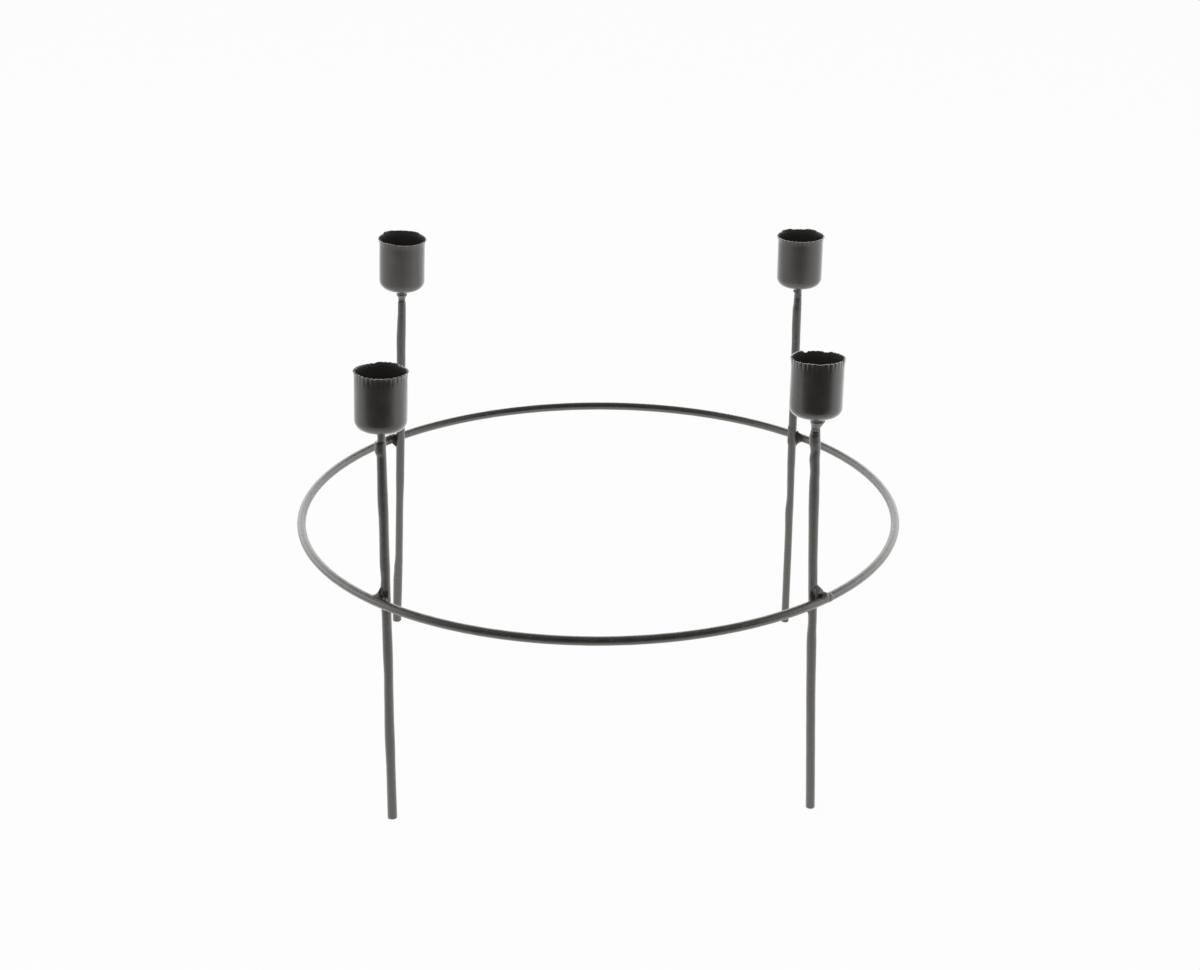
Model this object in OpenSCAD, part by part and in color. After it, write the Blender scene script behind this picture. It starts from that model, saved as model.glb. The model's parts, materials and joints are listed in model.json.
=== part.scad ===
// Advent candle holder: a wire hoop held level by four upright wire stems, each with a crimped
// sheet-steel candle cup on top. Every joint is welded, so nothing moves.
// Millimetres. +Z is up, the origin is on the table under the hoop's centre, and -Y is the front.

/* [Hoop] */
// Outside diameter of the hoop
hoop_od = 300; // [240:5:360]
// Diameter of the hoop's wire
hoop_wire_d = 4; // [3:0.1:6]
// Height of the middle of the hoop's wire above the table
hoop_h = 110.6; // [60:0.1:150]
// Direction of the seam where the hoop's wire closes, in degrees anticlockwise from +X
seam_azimuth = 315.3; // [0:0.1:360]
// Gap between the ends of the hoop's wire, which the seam weld fills
seam_gap = 1; // [0.5:0.1:2]
// How far the seam weld reaches over each end of the wire
seam_lap = 0.6; // [0.3:0.1:1.5]
// How far the seam weld stands proud of the wire
seam_proud = 0.2; // [0.1:0.05:0.5]

/* [Stems] */
// Diameter of the stems' wire
stem_d = 4; // [3:0.1:6]
// Gap between a stem and the hoop, at the root of their weld
root_gap = 0.05; // [0.03:0.01:0.2]

/* [Cups] */
// Bore of a cup, for the foot of a dinner candle
cup_bore_d = 22; // [18:0.1:30]
// Thickness of a cup's sheet
cup_wall = 0.5; // [0.4:0.05:0.8]
// Height of a cup from its base to its rim
cup_h = 26.5; // [22:0.5:40]
// Outside radius of the corner between a cup's base and its wall
cup_corner_r = 3.5; // [1.5:0.1:5]
// Height of the crimped band under the rim
crimp_h = 4.5; // [3:0.1:6]
// How far the ridges and grooves of the crimping swing out and in at the rim
crimp_wave = 0.2; // [0.1:0.05:0.25]
// Number of crimps around a cup
crimp_count = 34; // [24:1:40]
// Depth of the dips that crimping leaves in the rim, between the ridges
rim_dip = 0.4; // [0.1:0.05:0.6]
// How deep the crimped band is rooted in the top of the straight wall
band_root = 0.05; // [0.03:0.01:0.1]

/* [Cup welds] */
// Diameter of the neck of weld metal between a stem and its cup
neck_d = 3.6; // [2.6:0.1:4]
// Height of that neck, from the stem's end to the cup's base
neck_h = 5.5; // [4.5:0.1:8]
// How deep the foot of the neck's flare lies inside the neck
flare_root = 0.35; // [0.3:0.05:0.6]

/* [Stem welds] */
// Radius of a stem weld's toe, where it thins out on the wires
toe_r = 0.9; // [0.6:0.1:1.2]
// Radius of a stem weld in the corner between the wires
weld_root_r = 2; // [1.5:0.1:2.5]

/* [Front left stem] */
// Direction from the hoop's centre, in degrees anticlockwise from +X
front_left_azimuth = 227.8; // [215:0.1:240]
// Lean of the top outwards, in degrees
front_left_lean_out = -2.6; // [-5:0.1:5]
// Lean of the top anticlockwise, in degrees
front_left_lean_side = -1.8; // [-5:0.1:5]
// Height of the cup's base above the table, measured along the stem
front_left_cup_z = 193.4; // [170:0.1:225]
// Lean of the cup outwards, in degrees
front_left_cup_out = -2.6; // [-5:0.1:5]
// Lean of the cup anticlockwise, in degrees
front_left_cup_side = 0.5; // [-5:0.1:5]
// Width of the cup across its rim
front_left_rim_d = 24.2; // [23.8:0.1:26]
// Width of the cup weld's flare against the cup
front_left_flare_d = 5; // [4.2:0.1:8]
// Height of that flare
front_left_flare_h = 1.6; // [0.8:0.1:4]
// How far the stem weld runs along the hoop, anticlockwise if positive
front_left_weld_along = -6; // [-8:0.1:-3.5]
// How far the stem weld runs along the stem, upwards if positive
front_left_weld_up = 5; // [3.5:0.1:8]

/* [Front right stem] */
// Direction from the hoop's centre, in degrees anticlockwise from +X
front_right_azimuth = 312.8; // [300:0.1:325]
// Lean of the top outwards, in degrees
front_right_lean_out = -0.1; // [-5:0.1:5]
// Lean of the top anticlockwise, in degrees
front_right_lean_side = -1.8; // [-5:0.1:5]
// Height of the cup's base above the table, measured along the stem
front_right_cup_z = 200.8; // [170:0.1:225]
// Lean of the cup outwards, in degrees
front_right_cup_out = -1.5; // [-5:0.1:5]
// Lean of the cup anticlockwise, in degrees
front_right_cup_side = 2.4; // [-5:0.1:5]
// Width of the cup across its rim
front_right_rim_d = 23.8; // [23.8:0.1:26]
// Width of the cup weld's flare against the cup
front_right_flare_d = 7.2; // [4.2:0.1:8]
// Height of that flare
front_right_flare_h = 3.8; // [0.8:0.1:4]
// How far the stem weld runs along the hoop, anticlockwise if positive
front_right_weld_along = 5; // [3.5:0.1:8]
// How far the stem weld runs along the stem, upwards if positive
front_right_weld_up = 7; // [3.5:0.1:8]

/* [Back left stem] */
// Direction from the hoop's centre, in degrees anticlockwise from +X
back_left_azimuth = 138.4; // [125:0.1:150]
// Lean of the top outwards, in degrees
back_left_lean_out = -3.3; // [-5:0.1:5]
// Lean of the top anticlockwise, in degrees
back_left_lean_side = -0.6; // [-5:0.1:5]
// Height of the cup's base above the table, measured along the stem
back_left_cup_z = 198.3; // [170:0.1:225]
// Lean of the cup outwards, in degrees
back_left_cup_out = -4.6; // [-5:0.1:5]
// Lean of the cup anticlockwise, in degrees
back_left_cup_side = 0.9; // [-5:0.1:5]
// Width of the cup across its rim
back_left_rim_d = 25.2; // [23.8:0.1:26]
// Width of the cup weld's flare against the cup
back_left_flare_d = 5.8; // [4.2:0.1:8]
// Height of that flare
back_left_flare_h = 1.2; // [0.8:0.1:4]
// How far the stem weld runs along the hoop, anticlockwise if positive
back_left_weld_along = 5.5; // [3.5:0.1:8]
// How far the stem weld runs along the stem, upwards if positive
back_left_weld_up = -4.5; // [-8:0.1:-3.5]

/* [Back right stem] */
// Direction from the hoop's centre, in degrees anticlockwise from +X
back_right_azimuth = 42.8; // [30:0.1:55]
// Lean of the top outwards, in degrees
back_right_lean_out = 0.5; // [-5:0.1:5]
// Lean of the top anticlockwise, in degrees
back_right_lean_side = 0; // [-5:0.1:5]
// Height of the cup's base above the table, measured along the stem
back_right_cup_z = 197.6; // [170:0.1:225]
// Lean of the cup outwards, in degrees
back_right_cup_out = -1; // [-5:0.1:5]
// Lean of the cup anticlockwise, in degrees
back_right_cup_side = -1.2; // [-5:0.1:5]
// Width of the cup across its rim
back_right_rim_d = 25; // [23.8:0.1:26]
// Width of the cup weld's flare against the cup
back_right_flare_d = 5.4; // [4.2:0.1:8]
// Height of that flare
back_right_flare_h = 1.6; // [0.8:0.1:4]
// How far the stem weld runs along the hoop, anticlockwise if positive
back_right_weld_along = -5; // [-8:0.1:-3.5]
// How far the stem weld runs along the stem, upwards if positive
back_right_weld_up = -6; // [-8:0.1:-3.5]

/* [Hidden] */

// What a cutter reaches past the piece that it cuts
overrun = 1;

wire_paint = "#33312f";
cup_paint = "#262524";
weld_paint = "#3b3936";

hoop_r = hoop_od / 2 - hoop_wire_d / 2;
hoop_wire_r = hoop_wire_d / 2;
stem_r = stem_d / 2;
// The stems stand inside the hoop and touch it but for the root gap
stem_ring_r = hoop_r - hoop_wire_r - root_gap - stem_r;
seam_angle = 360 * seam_gap / (2 * PI * hoop_r);
bead_angle = 360 * (seam_gap + 2 * seam_lap) / (2 * PI * hoop_r);

cup_r = cup_bore_d / 2 + cup_wall;
straight_h = cup_h - crimp_h;
// Points around one crimp, and the heights of the band's rings of points, as shares of crimp_h
crimp_steps = 4;
ring_shares = [0, 0.5, 1];

// One stem: its azimuth and two leans, its cup's base height, two leans and rim width, its cup
// weld's flare width and height, and the two reaches of its stem weld
front_left = [front_left_azimuth, front_left_lean_out, front_left_lean_side, front_left_cup_z,
    front_left_cup_out, front_left_cup_side, front_left_rim_d, front_left_flare_d, front_left_flare_h,
    front_left_weld_along, front_left_weld_up];
front_right = [front_right_azimuth, front_right_lean_out, front_right_lean_side, front_right_cup_z,
    front_right_cup_out, front_right_cup_side, front_right_rim_d, front_right_flare_d, front_right_flare_h,
    front_right_weld_along, front_right_weld_up];
back_left = [back_left_azimuth, back_left_lean_out, back_left_lean_side, back_left_cup_z,
    back_left_cup_out, back_left_cup_side, back_left_rim_d, back_left_flare_d, back_left_flare_h,
    back_left_weld_along, back_left_weld_up];
back_right = [back_right_azimuth, back_right_lean_out, back_right_lean_side, back_right_cup_z,
    back_right_cup_out, back_right_cup_side, back_right_rim_d, back_right_flare_d, back_right_flare_h,
    back_right_weld_along, back_right_weld_up];

function azimuth(s) = s[0];
function lean_out(s) = s[1];
function lean_side(s) = s[2];
// Distances along a stem, from its crossing with the hoop
function cup_base(s) = s[3] - hoop_h;
function stem_top(s) = cup_base(s) - neck_h;
function cup_out(s) = s[4];
function cup_side(s) = s[5];
function rim_d(s) = s[6];
function flare_d(s) = s[7];
function flare_h(s) = s[8];
function weld_along(s) = s[9];
function weld_up(s) = s[10];

// Places children where a stem crosses the hoop: X outwards, Y anticlockwise, Z up the stem
module at_crossing(s) {
    rotate([0, 0, azimuth(s)])
        translate([stem_ring_r, 0, hoop_h])
            rotate([-lean_side(s), lean_out(s), 0])
                children();
}

// Places children at the middle of a cup's base, with Z up the cup
module at_cup(s) {
    at_crossing(s)
        translate([0, 0, cup_base(s)])
            rotate([lean_side(s), 0, 0])
                rotate([0, -lean_out(s), 0])
                    rotate([-cup_side(s), cup_out(s), 0])
                        children();
}

// Everything below the table, which trims the stems' feet flat
module below_table() {
    translate([-hoop_od, -hoop_od, -hoop_od])
        cube([2 * hoop_od, 2 * hoop_od, hoop_od]);
}

// A stretch of the hoop's ring, of a given wire radius, centred on the seam
module ring(wire_r, from_angle, angle) {
    translate([0, 0, hoop_h])
        rotate([0, 0, seam_azimuth + from_angle])
            rotate_extrude(angle = angle, $fn = 180)
                translate([hoop_r, 0])
                    circle(r = wire_r, $fn = 32);
}

module hoop() {
    color(wire_paint)
        ring(hoop_wire_r, seam_angle / 2, 360 - seam_angle);
}

module seam_bead() {
    ring(hoop_wire_r + seam_proud, -bead_angle / 2, bead_angle);
}

// The bead that closes the hoop: it fills the gap and laps a little over both ends
module hoop_seam_weld() {
    color(weld_paint)
        difference() {
            seam_bead();
            hoop();
        }
}

// A stem runs from the table to the neck of weld metal under its cup
module stem(s) {
    color(wire_paint)
        difference() {
            at_crossing(s)
                translate([0, 0, -hoop_h - stem_d])
                    cylinder(d = stem_d, h = hoop_h + stem_d + stem_top(s), $fn = 32);
            below_table();
        }
}

// Weld metal in one corner between the stem and the hoop, from a toe on each to the root
module stem_weld(s) {
    turn = sign(weld_along(s));
    rise = sign(weld_up(s));
    root_x = stem_r + root_gap / 2;
    color(weld_paint)
        difference() {
            at_crossing(s)
                hull() {
                    translate([root_x - toe_r, turn * (stem_r - toe_r / 2), weld_up(s) - rise * toe_r])
                        sphere(r = toe_r, $fn = 20);
                    translate([root_x + toe_r, weld_along(s) - turn * toe_r, rise * (hoop_wire_r - toe_r / 2)])
                        sphere(r = toe_r, $fn = 20);
                    translate([root_x, turn * stem_r / 2, rise * hoop_wire_r / 2])
                        sphere(r = weld_root_r, $fn = 24);
                }
            at_crossing(s)
                translate([0, 0, -hoop_h / 2])
                    cylinder(d = stem_d, h = hoop_h, $fn = 32);
            ring(hoop_wire_r, 0, 360);
            seam_bead();
        }
}

// Half section of a cylinder with a rounded bottom edge
module rounded_section(r, h, corner_r) {
    square([r - corner_r, h]);
    translate([0, corner_r])
        square([r, h - corner_r]);
    translate([r - corner_r, corner_r])
        circle(r = corner_r, $fn = 48);
}

// Half section of a cup's sheet up to the crimped band: base, corner and straight wall
module cup_section() {
    difference() {
        rounded_section(cup_r, straight_h, cup_corner_r);
        translate([0, cup_wall])
            rounded_section(cup_r - cup_wall, straight_h, cup_corner_r - cup_wall);
    }
}

// 1 on a ridge of the crimping and -1 in a groove
function wave(i) = cos(360 * i / crimp_steps);

// One ring of the crimped band's points, at a share of its height, on its outer or inner side
function band_ring(share, wall_r, flare) = [
    for (i = [0 : crimp_count * crimp_steps - 1])
        let (
            angle = 360 * i / (crimp_count * crimp_steps),
            r = wall_r + share * (flare + crimp_wave * wave(i)),
            dip = rim_dip * (1 - wave(i)) / 2
        )
        [r * cos(angle), r * sin(angle), straight_h - band_root + share * (crimp_h + band_root - dip)]
];

// The flared and crimped band under the rim, as one closed skin: up the outside, down the inside
module crimped_band(flare) {
    count = crimp_count * crimp_steps;
    rings = [
        for (share = ring_shares) band_ring(share, cup_r - band_root, flare),
        for (k = [1 : len(ring_shares)])
            band_ring(ring_shares[len(ring_shares) - k], cup_r - cup_wall + band_root, flare)
    ];
    points = [for (ring = rings) each ring];
    faces = [
        for (k = [0 : len(rings) - 1], i = [0 : count - 1])
            let (
                low = k * count,
                high = ((k + 1) % len(rings)) * count,
                next = (i + 1) % count
            )
            each [[low + i, high + i, low + next], [high + i, high + next, low + next]]
    ];
    polyhedron(points, faces);
}

module cup(s) {
    color(cup_paint)
        at_cup(s) {
            rotate_extrude($fn = 96)
                cup_section();
            crimped_band(rim_d(s) / 2 - cup_r - crimp_wave);
        }
}

// The neck of weld metal that joins a stem's end to its cup, with its flare against the cup
module cup_weld(s) {
    color(weld_paint)
        difference() {
            union() {
                at_crossing(s)
                    translate([0, 0, stem_top(s)])
                        cylinder(d = neck_d, h = neck_h + overrun, $fn = 32);
                at_cup(s)
                    translate([0, 0, -flare_h(s)])
                        cylinder(d1 = neck_d - 2 * flare_root, d2 = flare_d(s), h = flare_h(s), $fn = 32);
            }
            at_cup(s)
                cylinder(r = cup_r, h = 2 * overrun, $fn = 32);
        }
}

hoop();
hoop_seam_weld();
stem(front_left);  // stem_front_left
stem(front_right);  // stem_front_right
stem(back_left);  // stem_back_left
stem(back_right);  // stem_back_right
stem_weld(front_left);  // stem_weld_front_left
stem_weld(front_right);  // stem_weld_front_right
stem_weld(back_left);  // stem_weld_back_left
stem_weld(back_right);  // stem_weld_back_right
cup(front_left);  // cup_front_left
cup(front_right);  // cup_front_right
cup(back_left);  // cup_back_left
cup(back_right);  // cup_back_right
cup_weld(front_left);  // cup_weld_front_left
cup_weld(front_right);  // cup_weld_front_right
cup_weld(back_left);  // cup_weld_back_left
cup_weld(back_right);  // cup_weld_back_right
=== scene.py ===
"""Looks of an advent candle holder: a painted wire hoop on four welded stems, each topped by a crimped cup.

Laid out as an add-on and run as a script. Lengths in the mesh code are metres, and MM turns millimetres
into them. Left, right, front and back are as seen from the front, where -Y is.
"""

import json
import math

import bmesh
import bpy
import numpy as np
from bpy.props import FloatProperty, FloatVectorProperty, IntProperty, PointerProperty
from mathutils import Matrix, Vector, noise


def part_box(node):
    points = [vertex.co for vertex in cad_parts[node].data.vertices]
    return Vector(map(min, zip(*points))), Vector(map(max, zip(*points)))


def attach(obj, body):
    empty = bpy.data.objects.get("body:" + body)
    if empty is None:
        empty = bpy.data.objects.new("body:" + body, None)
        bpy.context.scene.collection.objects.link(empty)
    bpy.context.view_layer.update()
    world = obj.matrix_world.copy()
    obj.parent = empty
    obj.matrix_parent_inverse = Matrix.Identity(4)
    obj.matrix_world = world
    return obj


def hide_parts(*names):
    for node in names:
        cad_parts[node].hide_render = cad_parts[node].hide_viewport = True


bl_info = {
    "name": "Advent Candle Holder",
    "version": (1, 0, 0),
    "blender": (4, 5, 0),
    "location": "View3D > Sidebar > Candle Holder",
    "description": "Builds a painted wire candle holder for four candles",
    "category": "Add Mesh",
}

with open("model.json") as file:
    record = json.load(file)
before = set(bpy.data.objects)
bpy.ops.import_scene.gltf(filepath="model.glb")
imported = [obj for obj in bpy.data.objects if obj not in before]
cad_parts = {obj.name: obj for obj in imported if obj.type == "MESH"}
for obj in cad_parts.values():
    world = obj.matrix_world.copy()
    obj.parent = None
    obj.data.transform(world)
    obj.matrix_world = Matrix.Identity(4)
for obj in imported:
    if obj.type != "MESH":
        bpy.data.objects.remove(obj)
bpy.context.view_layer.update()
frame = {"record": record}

MM = 0.001
MOUNTS = {mount["name"]: mount for mount in frame["record"]["mounts"]}
HOOP_LOW, HOOP_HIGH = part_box("hoop")
HOOP_Z = (HOOP_LOW.z + HOOP_HIGH.z) / 2
SEAM_LOW, SEAM_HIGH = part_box("hoop_seam_weld")
SEAM_ANGLE = math.atan2(SEAM_LOW.y + SEAM_HIGH.y, SEAM_LOW.x + SEAM_HIGH.x)

# Height above a cup's base at which its bore starts to run straight
SOCKET_START = 3.5 * MM


# Sizes and colours that a user would change

class WireSettings(bpy.types.PropertyGroup):
    thickness: FloatProperty(
        name="Wire", description="Thickness of the wire of the hoop and stems",
        default=round(HOOP_HIGH.z - HOOP_LOW.z, 4), min=0.001, max=0.01, precision=4, unit="LENGTH")
    film: FloatProperty(
        name="Paint film", description="Thickness of the paint on the hoop's wire",
        default=0.14 * MM, min=0, max=0.3 * MM, precision=5, unit="LENGTH")
    ripple: FloatProperty(
        name="Ripple", description="Unevenness of the paint along the wire",
        default=0.04 * MM, min=0, max=0.3 * MM, precision=5, unit="LENGTH")
    waver: FloatProperty(
        name="Waver", description="How far the hand-bent hoop strays from a true circle",
        default=0.2 * MM, min=0, max=2 * MM, precision=5, unit="LENGTH")


class CupSettings(bpy.types.PropertyGroup):
    height: FloatProperty(
        name="Height", description="Height of a cup from its base to its rim",
        default=26.5 * MM, min=0.02, max=0.04, precision=4, unit="LENGTH")
    wall: FloatProperty(
        name="Sheet", description="Thickness of a cup's sheet with its paint",
        default=0.6 * MM, min=0.3 * MM, max=0.9 * MM, precision=5, unit="LENGTH")
    corner: FloatProperty(
        name="Corner", description="Outside radius between a cup's base and its wall",
        default=4.1 * MM, min=1.5 * MM, max=5 * MM, precision=4, unit="LENGTH")
    crimps: IntProperty(
        name="Crimps", description="Number of crimps around a cup's rim", default=34, min=20, max=44)


class WeldSettings(bpy.types.PropertyGroup):
    neck: FloatProperty(
        name="Neck", description="Height of the neck of weld metal between a stem and its cup",
        default=5.5 * MM, min=4 * MM, max=8 * MM, precision=4, unit="LENGTH")
    voxel: FloatProperty(
        name="Fineness", description="Size of the cells in which the beads are blended",
        default=0.16 * MM, min=0.1 * MM, max=0.5 * MM, precision=5, unit="LENGTH")
    ripple: FloatProperty(
        name="Ripple", description="Height of the ripples on the beads",
        default=0.06 * MM, min=0, max=0.3 * MM, precision=5, unit="LENGTH")


class PaintSettings(bpy.types.PropertyGroup):
    wire: FloatVectorProperty(
        name="Wire paint", description="Paint of the hoop and stems",
        default=(0.027, 0.0243, 0.021), min=0, max=1, subtype="COLOR")
    cup: FloatVectorProperty(
        name="Cup paint", description="Paint of the cups",
        default=(0.0175, 0.0165, 0.015), min=0, max=1, subtype="COLOR")
    # Made lighter than the wire's paint as painted light, so that welds in the shade of cups and hoop look lit
    weld: FloatVectorProperty(
        name="Weld paint", description="Paint over the weld metal",
        default=(0.078, 0.0735, 0.067), min=0, max=1, subtype="COLOR")
    # Colour of thin paint on sharp edges, also used as a painted highlight on the crests of the cups' rims
    wear_and_highlight: FloatVectorProperty(
        name="Worn edge", description="Thin paint on sharp edges",
        default=(0.33, 0.32, 0.3), min=0, max=1, subtype="COLOR")
    # Colour of the painted shade in the hollows and gaps beside the welds, mixed with their scorch
    soot_and_shade: FloatVectorProperty(
        name="Recess", description="Dark hollows beside the welds",
        default=(0.004, 0.0037, 0.0035), min=0, max=1, subtype="COLOR")


class StageSettings(bpy.types.PropertyGroup):
    floor: FloatVectorProperty(
        name="Floor", description="Colour of the floor",
        default=(0.9, 0.9, 0.9), min=0, max=1, subtype="COLOR")
    room: FloatProperty(
        name="Room light", description="Strength of the even light from all round",
        default=0.8, min=0, max=2)
    softbox: FloatProperty(
        name="Softbox", description="Power of the wide lamp overhead, in watts",
        default=14, min=0, max=100, unit="POWER")


# Places

class Stand:
    """Where one stem and its cup stand, worked out from the frame's mounts."""

    def __init__(self, place, welds):
        socket = MOUNTS["candle_socket_" + place]
        straight = socket["dims"]["length_mm"] * MM
        self.place = place
        self.bore = socket["dims"]["r_mm"] * MM
        self.foot = Vector(MOUNTS["foot_" + place]["pos_m"])
        self.cup_up = Vector(socket["axis"]).normalized()
        self.cup_base = Vector(socket["pos_m"]) - self.cup_up * (straight / 2 + SOCKET_START)
        self.up = (self.cup_base - self.foot).normalized()
        self.crossing = self.foot + self.up * (HOOP_Z / self.up.z)
        self.stem_top = self.cup_base - self.up * (welds.neck + STEMS[place]["short"] * MM)

    def at_crossing(self):
        """Local millimetres at the hoop's height: X outwards, Y anticlockwise, Z up the stem."""
        along = self.up.cross(Vector((self.crossing.x, self.crossing.y, 0))).normalized()
        return placing(along.cross(self.up), along, self.up, self.crossing)

    def at_neck(self):
        """Local millimetres at the cup's base: X right, Y back, Z up the stem."""
        right, back = level_pair(self.up)
        return placing(right, back, self.up, self.cup_base)


def all_stands(scene):
    """The four stands, front ones first."""
    return [Stand(place, scene.holder_weld) for place in STEMS]


def placing(x, y, z, origin):
    """The matrix that carries local millimetres to the frame."""
    matrix = Matrix((x, y, z)).transposed().to_4x4() @ Matrix.Scale(MM, 4)
    matrix.translation = origin
    return matrix


def level_pair(axis):
    """The directions to the right and to the back that are square to an upright axis."""
    right = Vector((1, 0, 0))
    right = (right - axis * right.dot(axis)).normalized()
    return right, axis.cross(right)


# Shapes by number

def eased(t):
    """An even S from 0 to 1."""
    t = np.clip(t, 0, 1)
    return t * t * (3 - 2 * t)


def through(knots, where):
    """A smooth line through (place, value) knots, level beyond the first and last."""
    places, values = np.array(knots, float).T
    step = np.clip(np.searchsorted(places, where, side="right") - 1, 0, len(places) - 2)
    share = eased((where - places[step]) / (places[step + 1] - places[step]))
    return values[step] * (1 - share) + values[step + 1] * share


def lumps(points, size, seed):
    """Smooth noise from about -1 to 1, in lumps of that size. Each seed reads it at a place of its own."""
    shift = Vector((17.3, 5.1, 11.7)) * seed
    flat = np.asarray(points, float).reshape(-1, 3) / size
    values = [noise.noise(Vector(point) + shift) for point in flat]
    return np.array(values).reshape(np.shape(points)[:-1])


def turn_from(angles, degrees):
    """The turn from a direction to each angle, the shorter way round."""
    return np.mod(angles - math.radians(degrees) + math.pi, 2 * math.pi) - math.pi


def turned(angles, size, seed):
    """Smooth noise around a circle, which meets itself after a full turn."""
    circle = np.stack([np.cos(angles), np.sin(angles), 0 * angles], -1)
    return lumps(circle, size, seed)


# Meshes

def solid(name, mesh, marks):
    """Makes an object of a closed mesh, with a number for each point under each name in marks."""
    shell = bmesh.new()
    shell.from_mesh(mesh)
    bmesh.ops.recalc_face_normals(shell, faces=shell.faces)
    shell.to_mesh(mesh)
    shell.free()
    mesh.shade_smooth()
    for mark, values in marks.items():
        layer = mesh.attributes.new(mark, "FLOAT", "POINT")
        layer.data.foreach_set("value", np.asarray(values, np.float32).ravel())
    made = bpy.data.objects.new(name, mesh)
    bpy.context.scene.collection.objects.link(made)
    return made


def skin(name, rings, marks):
    """Makes a closed mesh through rings of points, with a fan of triangles over each end."""
    count, around = rings.shape[:2]
    points = np.vstack([rings.reshape(-1, 3), rings[0].mean(0), rings[-1].mean(0)])
    step = np.arange(around)
    turn = (step + 1) % around
    faces = []
    for low in range(0, (count - 1) * around, around):
        faces += np.stack([low + step, low + turn, low + around + turn, low + around + step], 1).tolist()
    first, last = count * around, (count - 1) * around
    faces += np.stack([turn, step, np.full(around, first)], 1).tolist()
    faces += np.stack([last + step, last + turn, np.full(around, first + 1)], 1).tolist()
    mesh = bpy.data.meshes.new(name)
    mesh.from_pydata(points.tolist(), [], faces)
    flat = {mark: np.ravel(values) for mark, values in marks.items()}
    return solid(name, mesh, {mark: np.append(values, values[[0, -1]]) for mark, values in flat.items()})


def dress(made, node, material):
    """Puts a piece in the place of its node."""
    made.data.materials.append(material)
    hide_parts(node)
    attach(made, "root")


# Shader nodes

class Signal:
    """An output of a shader's nodes. Arithmetic on it adds Math nodes."""

    def __init__(self, graph, socket):
        self.graph = graph
        self.socket = socket

    def math(self, operation, first, second):
        return self.graph.add("ShaderNodeMath", {"operation": operation}, {0: first, 1: second})

    def __add__(self, other):
        return self.math("ADD", self, other)

    def __sub__(self, other):
        return self.math("SUBTRACT", self, other)

    def __rsub__(self, other):
        return self.math("SUBTRACT", other, self)

    def __mul__(self, other):
        return self.math("MULTIPLY", self, other)

    __radd__ = __add__
    __rmul__ = __mul__

    def between(self, low, high):
        """0 below low, 1 above high, an even S between."""
        return self.graph.add(
            "ShaderNodeMapRange", {"interpolation_type": "SMOOTHSTEP"}, {0: self, 1: low, 2: high})


class Graph:
    """The nodes of one material or of the world."""

    def __init__(self, owner):
        owner.use_nodes = True
        self.tree = owner.node_tree
        self.tree.nodes.clear()

    def add(self, kind, settings=None, inputs=None, output=0):
        """Adds a node: its settings first, then the values or links of its sockets."""
        node = self.tree.nodes.new(kind)
        for name, value in (settings or {}).items():
            setattr(node, name, value)
        for name, value in (inputs or {}).items():
            if isinstance(value, Signal):
                self.tree.links.new(value.socket, node.inputs[name])
            else:
                node.inputs[name].default_value = value
        return Signal(self, node.outputs[output]) if node.outputs else None

    def blend(self, mask, first, second):
        """A colour that goes from first to second as mask goes from 0 to 1."""
        return self.add("ShaderNodeMix", {"data_type": "RGBA"}, {0: mask, 6: first, 7: second}, output=2)

    def spots(self, place, size, detail):
        """Noise from 0 to 1, in spots of about that size."""
        return self.add("ShaderNodeTexNoise", inputs={"Vector": place, "Scale": 1 / size, "Detail": detail})

    def mark(self, name):
        """A number that the mesh carries at each point."""
        return self.add("ShaderNodeAttribute", {"attribute_name": name}, output="Fac")

    def either(self, mask, first, second):
        """Mixes two shaders."""
        return self.add("ShaderNodeMixShader", inputs={0: mask, 1: first, 2: second})


def tinted(colour, share):
    """A colour made lighter or darker, with its alpha."""
    return (*[channel * share for channel in colour], 1.0)


# Finishes

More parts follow.
